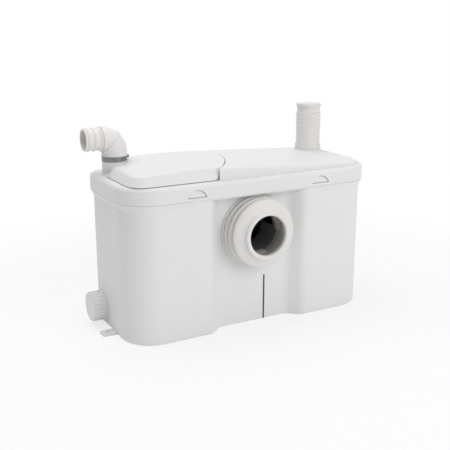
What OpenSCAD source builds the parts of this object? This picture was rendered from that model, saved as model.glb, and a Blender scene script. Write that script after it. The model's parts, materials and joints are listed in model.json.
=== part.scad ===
// Macerator toilet pump: a tank with a clip-on lid and a lift-off access cover, a rubber pan inlet
// in the front recess, a swivel discharge elbow, a top and a side inlet, and the motor, cutter and
// pump inside. Millimetres, +Z up, front towards -Y, origin on the floor under the tank's middle.

/* [Tank and lid] */
// Width over the lid's skirt
lid_w = 453; // [445:1:480]
// Depth over the lid's skirt
lid_d = 190.4; // [188:0.2:206]
// Radius of the two front corners of the skirt
front_corner_r = 57; // [48:1:64]
// Radius of the two rear corners of the skirt
rear_corner_r = 34; // [30:1:44]
// How far the skirt stands out past the tank wall
skirt_overhang = 5.1; // [4.5:0.1:6.5]
// Height of the seam between tank and skirt
seam_z = 224; // [223:1:240]
// Height of the skirt from the seam to the deck
skirt_h = 26; // [24:1:30]
// Rounding between skirt and deck
shoulder_r = 7; // [5:0.5:8]
// Wall and floor of the tank
tank_wall = 4; // [3:0.5:5]
// Wall of the lid and the access cover
lid_wall = 3; // [2.5:0.25:3.5]
// Height of the flared band under the seam
flare_h = 11.5; // [8:0.5:14]
// Rounding of the tank's bottom edge
foot_round = 4; // [2:0.5:5]

/* [Front recess] */
// Depth of the recess in the front wall
recess_depth = 20; // [16:0.5:22]
// Width of the recess's flat back
recess_floor_w = 112; // [106:1:120]
// Width of the recess where it meets the front wall
recess_mouth_w = 190; // [184:1:198]

/* [Lid top] */
// Height of the access cover's crowned top
cover_top_z = 269.7; // [268:0.1:276]
// Radius of the cover's crown, across the width
crown_r = 1300; // [1000:50:2000]
// Rounding of the access cover's top edge
cover_round = 15; // [8:0.5:16]
// Gap along the arc between cover and platform
cover_gap = 1.4; // [1:0.1:2.5]
// Radius of that arc, seen from above
cover_arc_r = 256; // [250:1:262]
// Distance of the cover's front edge from the skirt face
cover_inset_front = 9; // [8.5:0.5:12]
// Distance of the cover's left edge from the skirt face
cover_inset_side = 12.5; // [10:0.5:16]
// Height of the platform's top above the tank's middle
platform_top_z = 265.8; // [263:0.2:269]
// Fall of the platform's top towards the right, in degrees
platform_tilt = 3; // [1:0.1:3.4]
// Rounding of the platform's top edge
platform_round = 5; // [3:0.5:7]
// Distance of the platform's wall from the skirt face
platform_inset = 8; // [7.5:0.5:11]
// Distance of both rear spigots from the tank's middle, sideways
spigot_x = 188; // [182:1:190]
// Distance of both rear spigots from the tank's middle, towards the rear
spigot_y = 54; // [50:1:56]

/* [Pan inlet] */
// Height of the inlet's axis
inlet_z = 159.5; // [155:0.5:160]
// Radius of the sleeve's bore
inlet_bore_r = 32.4; // [28:0.2:35]
// Radius of the sleeve's flange
inlet_flange_r = 61; // [57:0.5:61.5]
// Length of the sleeve from the recess to its mouth
inlet_len = 48; // [45:1:54]

/* [Discharge elbow] */
// Outer radius of the upright leg
elbow_r = 19.4; // [18:0.2:21]
// Outer radius of the outlet leg
outlet_r = 17.6; // [16:0.2:18]
// Radius of the outlet's bore
outlet_bore_r = 15; // [12:0.2:15.4]
// Height of the outlet's axis
outlet_z = 305.4; // [304:0.2:320]
// Length of the outlet leg from the elbow's axis to its mouth
outlet_len = 50.5; // [48:0.5:70]
// Radius of the riser's spigot inside the elbow
spigot_r = 15.5; // [14:0.1:15.8]
// Radial clearance of parts that turn or slide on each other
run_clear = 0.06; // [0.03:0.01:0.1]

/* [Other inlets] */
// Outer radius of the top inlet's sleeve
top_sleeve_r = 21.6; // [20:0.2:24]
// Height of the top inlet above the floor
top_inlet_z = 341; // [336:1:360]
// Outer radius of the side inlet's cap
side_cap_r = 24.5; // [23:0.5:26]
// Length of the side inlet's cap past the tank wall
side_cap_len = 24; // [20:1:32]
// Height of the side inlet's axis
side_inlet_z = 32; // [31:0.5:40]
// Distance of the side inlet behind the tank's middle
side_inlet_y = 41; // [36:1:46]

/* [Motor and pump] */
// Height of the shaft above the floor
shaft_z = 92; // [86:1:96]
// Distance of the shaft behind the tank's middle
shaft_y = 20; // [17:1:22]
// Radius of the shaft
shaft_r = 6; // [5:0.25:7]
// Outer radius of the motor's can
can_r = 42; // [38:0.5:43]
// Length of the motor's can
can_len = 94; // [90:1:96]
// Radius of the impeller
impeller_r = 36; // [30:0.5:37]
// Inner radius of the macerator basket
basket_r = 47.5; // [44:0.5:50]
// Radius swept by the cutter
cutter_r = 42; // [34:0.5:43]

/* [Hidden] */
$fn = 96;

// Small values that several pieces share
seat_gap = 0.3;
touch = 0.02;
over = 1;

// Tank and lid
lid_hw = lid_w / 2;
lid_hd = lid_d / 2;
tank_hw = lid_hw - skirt_overhang;
tank_hd = lid_hd - skirt_overhang;
tank_rf = front_corner_r - skirt_overhang;
tank_rr = rear_corner_r - skirt_overhang;
deck_z = seam_z + skirt_h;
skirt_bottom_z = seam_z + seat_gap;
lip_gap = 0.6;
lip_t = 3;
lip_out = lid_wall + lip_gap;
seal_h = 3;
seal_rib_t = 1.6;
shelf_t = 2.5;
shelf_back = 3;
deck_lap = 2;

// Front recess
recess_run = (recess_mouth_w - recess_floor_w) / 2;
recess_blend = 0.9;
recess_r = recess_blend * recess_run / (2 * sin(2 * atan(recess_depth / recess_run)));
recess_step = [recess_run, 2 * recess_r - recess_depth];
recess_lean = atan2(recess_step.y, recess_step.x) + acos(2 * recess_r / norm(recess_step));
recess_y = -tank_hd + recess_depth;
recess_top_z = seam_z - shelf_t;
fade_r = 60;
fade_run = sqrt(2 * fade_r * skirt_overhang);

// Latch windows and hooks
latch_x = 113;
latch_half_w = 16;
latch_h = 12;
latch_z = seam_z + 5;
latch_arc_r = (latch_half_w ^ 2 + latch_h ^ 2) / (2 * latch_h);
latch_clear = 1;
hook_sink = 0.5;
hook_flat = 2;
lip_h = latch_z + latch_h - latch_clear + seat_gap - seam_z;

// Mark strip in the recess
strip_x = 21;
strip_w = 3;
strip_h = 78;
strip_t = 1.2;

// Lid top
arc_centre = [-257, 90];
crown_x = -95;
cover_base_z = deck_z + seat_gap;
cover_hw = lid_hw - cover_inset_side;
cover_hd = lid_hd - cover_inset_front;
cover_rf = front_corner_r - cover_inset_front;
cover_rr = rear_corner_r - cover_inset_front;
shadow_step = 1.1;
shadow_h = 1.2;
cover_edge = min(cover_round, cover_top_z - cover_base_z - shadow_h - over);
nose_r = 30;
notch_turn = -32.2;
notch_r = 2.2;
notch_h = 12;
bay_side = 31;
bay_ahead = 32;
bay_front_y = 14;
bay_gap = 0.6;
flank_foot = 2;
flank_rise = 25.9;
flank_fall = 7.1;
hatch_x = [-200, -84];
hatch_y = [-68, 12];
hatch_r = 12;

// Pan inlet
port_r = 46;
port_wall = 4;
port_out = 22;
chute_in = 36;
chute_wall = 3;
ring_len = 12;
ring_wall = 5;
lug_r = inlet_bore_r + 1;
lug_width = 50;
lug_turns = [24, 144, 264];

// Discharge
boss_r = elbow_r + 1;
boss_drop = 1.2;
riser_socket = 18;
riser_wall = 3;
spigot_h = 15;
discharge_bore_r = 11;
boss_top_z = cover_top_z - boss_drop;
spigot_top_z = boss_top_z + spigot_h;
elbow_base_z = boss_top_z + seat_gap;
bend_r = max(boss_r, outlet_r) + 1.4;
clamp_w = 7.2;
clamp_t = 1.2;
clamp_rise = 1.2;
clamp_z = elbow_base_z + clamp_rise + clamp_w / 2;
worm_turn = 32;
worm_r = 2.2;
worm_len = 12;
worm_off = elbow_r + clamp_t + seat_gap + worm_r;

// Top inlet
top_spigot_r = 17.4;
top_spigot_wall = 2.4;
top_collar_r = top_sleeve_r + 2.6;
top_collar_h = 4;
plug_h = 5;
plug_stem = 26;
platform_drop = spigot_x * tan(platform_tilt);
top_seat_z = platform_top_z - platform_drop;
top_spigot_h = top_inlet_z - plug_h - plug_stem - over - top_seat_z;

// Side inlet
side_spigot_r = 20;
side_bore_r = 17;
side_collar_r = 28;
side_collar_t = 2;
side_spigot_len = side_cap_len - 8;

// Floor brackets
bracket_out = 22.4;
bracket_in = 14;
bracket_w = 20;
bracket_y = -7;
bracket_t = 3;
bracket_round = 4;
bracket_hole_r = 2.75;
bracket_hole_in = 10;

// Cable gland in the rear wall
gland_x = -110;
gland_z = 190;
gland_r = 8;
gland_bore = 3.6;

// Motor and pump, along the shaft
bell_t = 12;
bell_lip = 4;
volute_t = 31;
plate_t = 3;
volute_x = -spigot_x;
volute_left = volute_x - volute_t / 2;
volute_right = volute_x + volute_t / 2;
can_left = volute_right + bell_t;
can_right = can_left + can_len;
bell_right = can_right + bell_t;
can_wall = 3;
bearing_r = 16;
bearing_w = 8;
seal_r = 11;
seal_w = 5;
seal_play = 0.2;
core_r = 23.5;
core_gap = 0.5;
core_len = 55;
core_mid = (can_left + can_right) / 2;
core_start = core_mid - core_len / 2;
slot_count = 12;
slot_depth = 9;
slot_w = 3;
volute_r = 44;
volute_wall = 4;
eye_r = 16;
pipe_r = 12;
pipe_bore = 9;
pipe_top = shaft_z + volute_r + 18;
cradle_t = 12;
cradle_in = 10;
cradle_foot = 4;
cradle_half = can_r - 6;
cradle_top = shaft_z - 16;

// Non-return valve
valve_z = pipe_top + 2;
valve_r = 24;
valve_wall = 3;
valve_h = 38;
seat_t = 4;
flap_r = 15;
flap_t = 3;
hinge_off = 17;
knuckle_r = 2.6;
knuckle_w = 10;
ear_w = 4;
pin_r = 1.2;
pin_len = 20;
flap_z = valve_z + seat_t + seat_gap;
knuckle_z = flap_z + knuckle_r;
riser_cuff = 20;
spigot_base_z = deck_z - lid_wall - riser_socket - 2;

// Cutter and basket
basket_left = bell_right + 6;
basket_right = 45;
basket_wall = 2.5;
basket_out = basket_r + basket_wall;
basket_top = shaft_z + 26;
basket_leg = 6;
basket_slots = 13;
basket_slot_w = 4;
basket_slot_span = 144;
cutter_x = basket_left + 16;
cutter_t = 3;
cutter_arm = 14;
breaker_arm = 10;
hub_r = 13;
hub_len = 10;
nut_t = 6;
nut_r = shaft_r + 4.5;
shaft_end = cutter_x + hub_len / 2 + nut_t + 1;
shaft_start = volute_x - 6;

// Level switch
dip_x = 120;
dip_y = 20;
dip_r = 20;
dip_wall = 2.5;
dip_top = 196;
dip_slot = [16, 22];
switch_r = 30;
switch_h = 20;
switch_plug = 8;
switch_bore = 6;
diaphragm_t = 4;
bracket_arm = [4, 18, 22];
arm_x = 10;
plunger_r = 3;
plunger_len = 12;
plunger_in = 8;
micro_size = [20, 10, 12];
micro_z = dip_top + switch_h + plunger_len - plunger_in + 4;

// Electrics above the motor
box_x = [-158, -78];
box_y = [-18, 36];
box_size = [box_x[1] - box_x[0], box_y[1] - box_y[0]];
box_z = shaft_z + can_r + 8;
box_h = 52;
box_wall = 2.5;
box_rim = 1;
box_lid_t = 3;
box_foot = [8, 28];
cap_r = 16;
cap_len = 60;
cap_in = 8;
block_size = [50, 12, 18];
block_in = 10;
screw_r = 2;
screw_pitch = 9.5;
screw_depth = 10;

// Carbon filter
filter_x = 66;
filter_y = 48;
filter_r = 22;
filter_wall = 2.3;
filter_drop = 16;
filter_rim = [4, 3];
filter_base_z = deck_z - filter_drop;
filter_roof_z = platform_top_z - filter_x * tan(platform_tilt) - lid_wall;
filter_top_z = filter_roof_z - 2;

// Plan of a block with rounded corners, the front pair and the rear pair each with its own radius
module plan(hw, hd, rf, rr) {
    translate([-hw, -hd + rf]) square([2 * hw, 2 * hd - rf - rr]);
    translate([-hw + rf, -hd]) square([2 * (hw - rf), rf + over]);
    translate([-hw + rr, hd - rr - over]) square([2 * (hw - rr), rr + over]);
    for (s = [-1, 1]) {
        translate([s * (hw - rf), -hd + rf]) circle(rf);
        translate([s * (hw - rr), hd - rr]) circle(rr);
    }
}

// A profile run round such a plan: its x is measured outwards from the plan's edge, its y is height
module around(hw, hd, rf, rr) {
    for (s = [0, 1]) mirror([s, 0, 0]) {
        translate([hw - rf, -hd + rf, 0]) rotate([0, 0, -90]) rotate_extrude(angle = 90)
            translate([rf, 0]) children();
        translate([hw - rr, hd - rr, 0]) rotate_extrude(angle = 90) translate([rr, 0]) children();
        translate([hw, hd - rr, 0]) rotate([90, 0, 0]) linear_extrude(2 * hd - rf - rr) children();
    }
    translate([-hw + rf, -hd, 0]) rotate([90, 0, 90]) linear_extrude(2 * (hw - rf))
        mirror([1, 0]) children();
    translate([-hw + rr, hd, 0]) rotate([90, 0, 90]) linear_extrude(2 * (hw - rr)) children();
}

// Section of an edge band of width m with its top corner rounded
module rounded_band(m, h, f) {
    difference() {
        translate([-m, 0]) square([m, h]);
        translate([-f, h - f]) difference() {
            square(f + over);
            circle(f);
        }
    }
}

// A block on a rounded plan with a rounded top edge
module pillow(hw, hd, rf, rr, h, f) {
    band = f + 3;
    around(hw, hd, rf, rr) rounded_band(band, h, f);
    linear_extrude(h) plan(hw - band + over, hd - band + over, rf - band + over, rr - band + over);
}

// The front recess seen from above, grown by g on every side: each side is a hollow fillet, a slanted
// straight and a rounded mouth edge
module recess_plan(g) {
    r_in = recess_r + g;
    r_out = recess_r - g;
    front = -lid_hd - over;
    low = [recess_floor_w / 2, recess_y - recess_r];
    high = [recess_mouth_w / 2, -tank_hd + recess_r];
    square_off = [cos(recess_lean), sin(recess_lean)];
    for (s = [0, 1]) mirror([s, 0]) {
        translate([-over, front]) square([low.x + over, recess_y + g - front]);
        translate(low) circle(r_in);
        difference() {
            polygon([
                [low.x - over, front], [low.x - over, low.y], low + (r_in - touch) * square_off,
                high - (r_out - touch) * square_off, [high.x, -tank_hd + g], [high.x, front]
            ]);
            translate(high) circle(r_out);
        }
    }
}

// Half-moon of a latch, flat side down, grown by g, standing in the XZ plane
module half_moon(g) {
    intersection() {
        translate([0, latch_h - latch_arc_r]) circle(latch_arc_r + g);
        translate([-latch_half_w - over, -g]) square([2 * (latch_half_w + over), latch_h + 2 * over]);
    }
}

// Places of the four latches, each facing outwards along -Y
module at_latches() {
    for (s = [-1, 1]) for (turn = [0, 180]) rotate([0, 0, turn]) translate([s * latch_x, -lid_hd, latch_z])
        rotate([90, 0, 0]) children();
}

// A tube along +Z
module tube(r, bore, h) {
    difference() {
        cylinder(r = r, h = h);
        translate([0, 0, -over]) cylinder(r = bore, h = h + 2 * over);
    }
}

// Puts its children on the shaft's axis at x, with their own +Z along +X
module on_shaft(x) {
    translate([x, shaft_y, shaft_z]) rotate([0, 90, 0]) children();
}

// Puts its children on the inlet's axis at the recess, with their own +Z towards the mouth
module on_inlet() {
    translate([0, recess_y, inlet_z]) rotate([90, 0, 0]) children();
}

// Outer solid of the tank without its cavity
module tank_block() {
    difference() {
        union() {
            translate([0, 0, foot_round]) linear_extrude(seam_z - foot_round)
                plan(tank_hw, tank_hd, tank_rf, tank_rr);
            mirror([0, 0, 1]) translate([0, 0, -foot_round - over])
                pillow(tank_hw, tank_hd, tank_rf, tank_rr, foot_round + over, foot_round);
        }
        translate([0, 0, -over]) linear_extrude(recess_top_z + over) recess_plan(0);
    }
}

module tank_cavity() {
    translate([0, 0, tank_wall]) linear_extrude(seam_z) difference() {
        plan(tank_hw - tank_wall, tank_hd - tank_wall, tank_rf - tank_wall, tank_rr - tank_wall);
        recess_plan(tank_wall);
    }
}

// Flared band under the seam, which fades out where the recess opens
module tank_flare() {
    inner = skirt_overhang + tank_wall;
    difference() {
        around(lid_hw, lid_hd, front_corner_r, rear_corner_r) polygon([
            [-inner, seam_z - flare_h], [-skirt_overhang, seam_z - flare_h], [0, seam_z - seat_gap],
            [0, seam_z], [-inner, seam_z]
        ]);
        translate([0, 0, -over]) linear_extrude(seam_z + 2 * over) {
            recess_plan(0);
            for (s = [-1, 1]) translate([s * recess_mouth_w / 2, -tank_hd - fade_r + touch]) circle(fade_r);
        }
    }
}

// Upright lip that the skirt clips over, and the shelf that carries it across the recess
module tank_lip() {
    shelf_hw = recess_mouth_w / 2 + fade_run;
    around(lid_hw, lid_hd, front_corner_r, rear_corner_r)
        translate([-lip_out - lip_t, seam_z - over]) square([lip_t, lip_h + over]);
    translate([0, 0, recess_top_z]) linear_extrude(shelf_t) intersection() {
        plan(lid_hw - shelf_back, lid_hd - shelf_back, front_corner_r - shelf_back,
            rear_corner_r - shelf_back);
        union() {
            recess_plan(tank_wall);
            translate([-shelf_hw, -lid_hd]) square([2 * shelf_hw, skirt_overhang + tank_wall / 2]);
        }
    }
}

// Snap hooks that show in the skirt's windows
module latch_hooks() {
    intersection() {
        at_latches() translate([0, 0, -lip_out - over]) linear_extrude(lip_out + over)
            half_moon(-latch_clear);
        for (turn = [0, 180]) rotate([0, 0, turn]) translate([-lid_hw, -lid_hd, latch_z])
            rotate([90, 0, 90]) linear_extrude(lid_w) polygon([
                [lip_out + over, 0], [hook_sink, 0], [hook_sink, hook_flat], [lip_out, latch_h],
                [lip_out + over, latch_h]
            ]);
    }
}

module tank() color("whitesmoke") {
    difference() {
        union() {
            difference() {
                tank_block();
                tank_cavity();
                on_inlet() cylinder(r = inlet_flange_r + seat_gap, h = recess_depth);
            }
            on_inlet() translate([0, 0, -tank_wall]) cylinder(r = port_r, h = tank_wall + port_out);
            tank_flare();
            tank_lip();
            latch_hooks();
            translate([-tank_hw, side_inlet_y, side_inlet_z]) rotate([0, -90, 0]) {
                cylinder(r = side_collar_r, h = side_collar_t);
                cylinder(r = side_spigot_r, h = side_spigot_len);
            }
        }
        on_inlet() translate([0, 0, -tank_wall - over])
            cylinder(r = port_r - port_wall, h = tank_wall + port_out + 2 * over);
        translate([-tank_hw + tank_wall + over, side_inlet_y, side_inlet_z]) rotate([0, -90, 0])
            cylinder(r = side_bore_r, h = side_cap_len + tank_wall + over);
        translate([strip_x - strip_w / 2, recess_y - over, -over])
            cube([strip_w, strip_t + over, strip_h + over]);
        for (s = [0, 1]) mirror([s, 0, 0])
            translate([tank_hw - bracket_in, bracket_y - bracket_w / 2 - touch, -over])
                cube([bracket_in + over, bracket_w + 2 * touch, bracket_t + touch + over]);
        translate([gland_x, tank_hd - tank_wall - over, gland_z]) rotate([-90, 0, 0])
            cylinder(r = gland_r + touch, h = tank_wall + 2 * over);
    }
}

// Raised right-hand part of the lid, shrunk by g
module platform(g) {
    low = 40;
    difference() {
        intersection() {
            translate([0, 0, platform_top_z - g]) rotate([0, platform_tilt, 0]) translate([0, 0, -low])
                pillow(lid_hw - platform_inset - g, lid_hd - platform_inset - g,
                    front_corner_r - platform_inset - g, rear_corner_r - platform_inset - g,
                    low, platform_round);
            translate([-lid_hw, -lid_hd, deck_z - lid_wall - g]) cube([lid_w, lid_d, low]);
        }
        translate([arc_centre.x, arc_centre.y, 0])
            cylinder(r = cover_arc_r + cover_gap / 2 + g, h = cover_top_z + low, $fn = 360);
    }
}

module skirt_section() {
    translate([-lid_wall, skirt_bottom_z]) square([lid_wall, deck_z - shoulder_r - skirt_bottom_z]);
    translate([-shoulder_r, deck_z - shoulder_r]) intersection() {
        difference() {
            circle(shoulder_r);
            circle(shoulder_r - lid_wall);
        }
        square(shoulder_r + over);
    }
    translate([-shoulder_r - deck_lap, deck_z - lid_wall]) square([deck_lap, lid_wall]);
}

module lid() color("white") {
    rib_z = seam_z + lip_h + seal_h;
    difference() {
        union() {
            difference() {
                union() {
                    around(lid_hw, lid_hd, front_corner_r, rear_corner_r) skirt_section();
                    translate([0, 0, deck_z - lid_wall]) linear_extrude(lid_wall) plan(
                        lid_hw - shoulder_r - over, lid_hd - shoulder_r - over,
                        front_corner_r - shoulder_r - over, rear_corner_r - shoulder_r - over);
                    platform(0);
                    island(0);
                }
                platform(lid_wall);
                island(lid_wall);
            }
            around(lid_hw, lid_hd, front_corner_r, rear_corner_r)
                translate([-lip_out - lip_t / 2 - seal_rib_t / 2, rib_z])
                    square([seal_rib_t, deck_z - lid_wall / 2 - rib_z]);
            translate([-spigot_x, spigot_y, deck_z - lid_wall]) {
                cylinder(r = boss_r, h = boss_top_z - deck_z + lid_wall);
                translate([0, 0, -riser_socket]) cylinder(r = spigot_r + riser_wall, h = riser_socket + over);
            }
            translate([spigot_x, spigot_y, top_seat_z - lid_wall]) {
                cylinder(r = top_spigot_r, h = top_spigot_h + lid_wall);
                cylinder(r = top_collar_r, h = top_collar_h + lid_wall);
            }
            translate([filter_x, filter_y, filter_base_z])
                cylinder(r = filter_r + filter_wall, h = filter_roof_z + lid_wall / 2 - filter_base_z);
        }
        translate([-spigot_x, spigot_y, 0]) cylinder(r = spigot_r + seat_gap, h = boss_top_z + over);
        translate([spigot_x, spigot_y, seam_z])
            cylinder(r = top_spigot_r - top_spigot_wall, h = top_seat_z + top_spigot_h + over - seam_z);
        translate([filter_x, filter_y, 0]) cylinder(r = filter_r + touch, h = filter_top_z);
        at_latches() translate([0, 0, -lid_wall - over]) linear_extrude(lid_wall + 2 * over) half_moon(0);
        translate([0, 0, deck_z - lid_wall - over]) linear_extrude(lid_wall + 2 * over) hatch_plan(0);
    }
}

// Service opening in the deck under the access cover
module hatch_plan(g) {
    r = hatch_r - g;
    w = hatch_x[1] - hatch_x[0];
    d = hatch_y[1] - hatch_y[0];
    translate([(hatch_x[0] + hatch_x[1]) / 2, (hatch_y[0] + hatch_y[1]) / 2])
        plan(w / 2 - g, d / 2 - g, r, r);
}

module lid_seal() color("dimgray") {
    around(lid_hw, lid_hd, front_corner_r, rear_corner_r)
        translate([-lip_out - lip_t, seam_z + lip_h]) square([lip_t, seal_h]);
}

// Crowned form over the left half of the lid's top with its slanted left flank, shrunk by g and
// standing on base_z
module crown(g, base_z) {
    h = cover_top_z + over - g - base_z;
    intersection() {
        translate([0, 0, base_z])
            pillow(cover_hw - g, cover_hd - g, cover_rf - g, cover_rr - g + over, h, cover_edge - g / 2);
        translate([crown_x, -lid_hd, cover_top_z - crown_r]) rotate([-90, 0, 0])
            cylinder(r = crown_r - g, h = lid_d, $fn = 720);
        translate([-cover_hw, bay_front_y, deck_z + flank_foot]) rotate([-flank_fall, -flank_rise, 0])
            translate([-lid_w, -lid_w, -lid_w - g]) cube([2 * lid_w, 2 * lid_w, lid_w]);
    }
}

// Plan of the part of that form that stays on the lid round the discharge, grown by g
module bay_plan(g) {
    edge = [-spigot_x + bay_side + g, spigot_y - bay_ahead - g];
    polygon([
        [-lid_w, bay_front_y - g], [-cover_hw, bay_front_y - g], [-spigot_x, edge.y], edge,
        [edge.x, lid_d], [-lid_w, lid_d]
    ]);
}

module island(g) {
    base_z = deck_z - lid_wall - g;
    intersection() {
        crown(g, base_z);
        translate([0, 0, base_z - over]) linear_extrude(cover_top_z) bay_plan(-bay_gap - g);
    }
}

// Corner between the cover's front and its arc, left outside a rounding shrunk by g
module nose_plan(g) {
    r = nose_r - g;
    reach = cover_arc_r - cover_gap / 2 - nose_r;
    centre_y = nose_r - cover_hd;
    centre = [arc_centre.x + sqrt(reach ^ 2 - (centre_y - arc_centre.y) ^ 2), centre_y];
    ahead = [0, -1];
    aside = (centre - arc_centre) / reach;
    corner = (ahead + aside) / norm(ahead + aside);
    translate(centre) difference() {
        polygon([[0, 0], (r + over) * ahead, 2 * r * corner, (r + over) * aside]);
        circle(r + touch);
    }
}

// Outer form of the access cover, shrunk by g
module cover_form(g) {
    base_z = cover_base_z - (g > 0 ? over : 0);
    difference() {
        intersection() {
            crown(g, base_z);
            translate([arc_centre.x, arc_centre.y, 0])
                cylinder(r = cover_arc_r - cover_gap / 2 - g, h = cover_top_z + over, $fn = 360);
        }
        linear_extrude(cover_top_z + over) {
            bay_plan(g);
            nose_plan(g);
        }
    }
}

module access_cover() color("white") {
    rib = 5;
    rib_t = 2;
    difference() {
        cover_form(0);
        cover_form(lid_wall);
        difference() {
            translate([-lid_hw, -lid_hd, cover_base_z - over]) cube([lid_w, lid_d, shadow_h + over]);
            translate([0, 0, cover_base_z - 2 * over]) linear_extrude(shadow_h + 3 * over)
                plan(cover_hw - shadow_step, cover_hd - shadow_step, cover_rf - shadow_step,
                    cover_rr - shadow_step);
        }
        translate([arc_centre.x, arc_centre.y, cover_top_z - notch_h]) rotate([0, 0, notch_turn])
            translate([cover_arc_r, 0, 0]) cylinder(r = notch_r, h = notch_h + over);
    }
    intersection() {
        translate([0, 0, deck_z - rib]) linear_extrude(cover_top_z - deck_z + rib) difference() {
            hatch_plan(seat_gap);
            hatch_plan(seat_gap + rib_t);
        }
        crown(lid_wall / 2, deck_z - rib - over);
    }
}

// Half section of the rubber pan sleeve: x is the radius, y the distance from the recess
module sleeve_section() {
    flange_t = 5;
    ridge = 2.2;
    ridges = [[inlet_flange_r - 1, 10.5], [inlet_flange_r - 3, 21.5]];
    neck_r = inlet_flange_r - 5.5;
    rim = [inlet_flange_r - 6, inlet_len - 14];
    lip_r = inlet_bore_r + 6.3;
    bore_len = 7;
    difference() {
        union() {
            translate([port_r, 0]) square([inlet_flange_r - port_r, flange_t]);
            polygon([
                [port_r, 0], [neck_r, 0], [neck_r, rim.y - 6], [rim.x, rim.y - 2], rim,
                [lip_r, inlet_len - ridge], [inlet_bore_r, inlet_len - ridge], [inlet_bore_r, 0]
            ]);
            for (top = ridges) {
                translate([top.x - ridge, top.y]) circle(ridge);
                translate([port_r, top.y - ridge]) square([top.x - ridge - port_r, 2 * ridge]);
            }
            translate([inlet_bore_r, inlet_len - ridge - over])
                square([lip_r - ridge - inlet_bore_r, ridge + over]);
            translate([lip_r - ridge, inlet_len - ridge]) circle(ridge);
        }
        translate([-over, -over]) square([port_r + touch + over, port_out + seat_gap + over]);
        translate([-over, 0]) square([inlet_bore_r + over, inlet_len + over]);
        polygon([
            [0, port_out], [port_r - port_wall, port_out], [port_r - port_wall, rim.y - 2],
            [inlet_bore_r, inlet_len - bore_len], [0, inlet_len - bore_len]
        ]);
    }
}

module inlet_sleeve() color("gainsboro") on_inlet() rotate_extrude() sleeve_section();

module inlet_ring() color("lightgray") on_inlet() {
    r = port_r - port_wall - touch;
    translate([0, 0, port_out - ring_len]) {
        tube(r, r - ring_wall, ring_len);
        for (turn = lug_turns) rotate([0, 0, turn - lug_width / 2]) rotate_extrude(angle = lug_width)
            translate([lug_r, 0]) square([r - ring_wall / 2 - lug_r, ring_len - 2]);
    }
}

// Liner of the port with an open gutter that leads the waste into the basket
module inlet_chute() color("black") on_inlet() {
    r = port_r - port_wall - touch;
    front = port_out - ring_len - seat_gap;
    translate([0, 0, -tank_wall]) tube(r, r - chute_wall, front + tank_wall);
    translate([0, 0, -tank_wall - chute_in]) intersection() {
        tube(r, r - chute_wall, chute_in + over);
        translate([-r, -r, 0]) cube([2 * r, r, chute_in + over]);
    }
}

module front_mark_strip() color("dimgray") translate([strip_x - strip_w / 2 + touch, recess_y, 0])
    cube([strip_w - 2 * touch, strip_t, strip_h - touch]);

// Part of the elbow's bend as a solid of radius r, through span degrees from turn on
module bend(r, turn, span) {
    translate([-bend_r, 0, outlet_z - bend_r]) rotate([90, 0, 0]) rotate([0, 0, turn])
        rotate_extrude(angle = span) translate([bend_r, 0]) circle(r);
}

module discharge_elbow() color("gainsboro") translate([-spigot_x, spigot_y, 0]) {
    bend_z = outlet_z - bend_r;
    cuff_z = clamp_z + clamp_w / 2 + seat_gap;
    cuff = [boss_r + 0.5, 2.5];
    joint = [boss_r + 1, 5];
    outlet_half_r = outlet_r + 1.8;
    ring = 2;
    ring_in = 5;
    ring_pitch = 10.35;
    socket = 24;
    difference() {
        union() {
            translate([0, 0, elbow_base_z]) cylinder(r = elbow_r, h = bend_z - elbow_base_z);
            translate([0, 0, cuff_z]) cylinder(r = boss_r - seat_gap, h = bend_z - cuff_z);
            translate([0, 0, cuff_z]) cylinder(r = cuff.x, h = cuff.y);
            bend(boss_r, 0, 45);
            bend(joint.x, 45, joint.y);
            bend(outlet_half_r, 45, 45);
            translate([-bend_r, 0, outlet_z]) rotate([0, -90, 0])
                cylinder(r = outlet_r, h = outlet_len - bend_r);
            for (i = [0 : 2]) translate([-outlet_len + ring_in + ring_pitch * i, 0, outlet_z])
                rotate([0, 90, 0]) rotate_extrude() translate([outlet_r - ring / 5, 0])
                    circle(ring, $fn = 12);
        }
        translate([0, 0, elbow_base_z - over])
            cylinder(r = spigot_r + run_clear, h = spigot_h + seat_gap + over);
        translate([0, 0, elbow_base_z]) cylinder(r = discharge_bore_r, h = bend_z + touch - elbow_base_z);
        bend(discharge_bore_r, 0, 90);
        translate([-bend_r + touch, 0, outlet_z]) rotate([0, -90, 0])
            cylinder(r = discharge_bore_r, h = outlet_len);
        translate([-outlet_len - over, 0, outlet_z]) rotate([0, 90, 0])
            cylinder(r = outlet_bore_r, h = socket + over);
    }
}

// Place of the clamp's worm, with +Z along the screw
module at_worm() {
    translate([-spigot_x, spigot_y, clamp_z]) rotate([0, 0, worm_turn])
        translate([worm_off, 0, 0]) rotate([90, 0, 0]) children();
}

module hose_clamp() color("silver") {
    housing = 2 * worm_r + 1.6;
    difference() {
        union() {
            translate([-spigot_x, spigot_y, clamp_z - clamp_w / 2])
                cylinder(r = elbow_r + clamp_t, h = clamp_w);
            at_worm() translate([-housing / 2 - seat_gap, seat_gap - clamp_w / 2, -worm_len / 2 + 1.5])
                cube([housing + seat_gap, clamp_w - 2 * seat_gap, worm_len - 3]);
        }
        translate([-spigot_x, spigot_y, clamp_z - clamp_w])
            cylinder(r = elbow_r + touch, h = 2 * clamp_w);
        at_worm() translate([0, 0, -worm_len]) cylinder(r = worm_r + run_clear, h = 2 * worm_len);
    }
}

module clamp_screw() color("silver") at_worm() {
    head_at = worm_len / 2 + 1.2;
    head_t = 2.6;
    head_r = worm_r + 0.8;
    slot_w = 0.9;
    translate([0, 0, -worm_len / 2]) cylinder(r = worm_r, h = worm_len / 2 + head_at + touch);
    translate([0, 0, head_at]) difference() {
        cylinder(r = head_r, h = head_t, $fn = 6);
        translate([-slot_w / 2, -head_r - over, head_t / 2]) cube([slot_w, 2 * (head_r + over), head_t]);
    }
}

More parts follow.
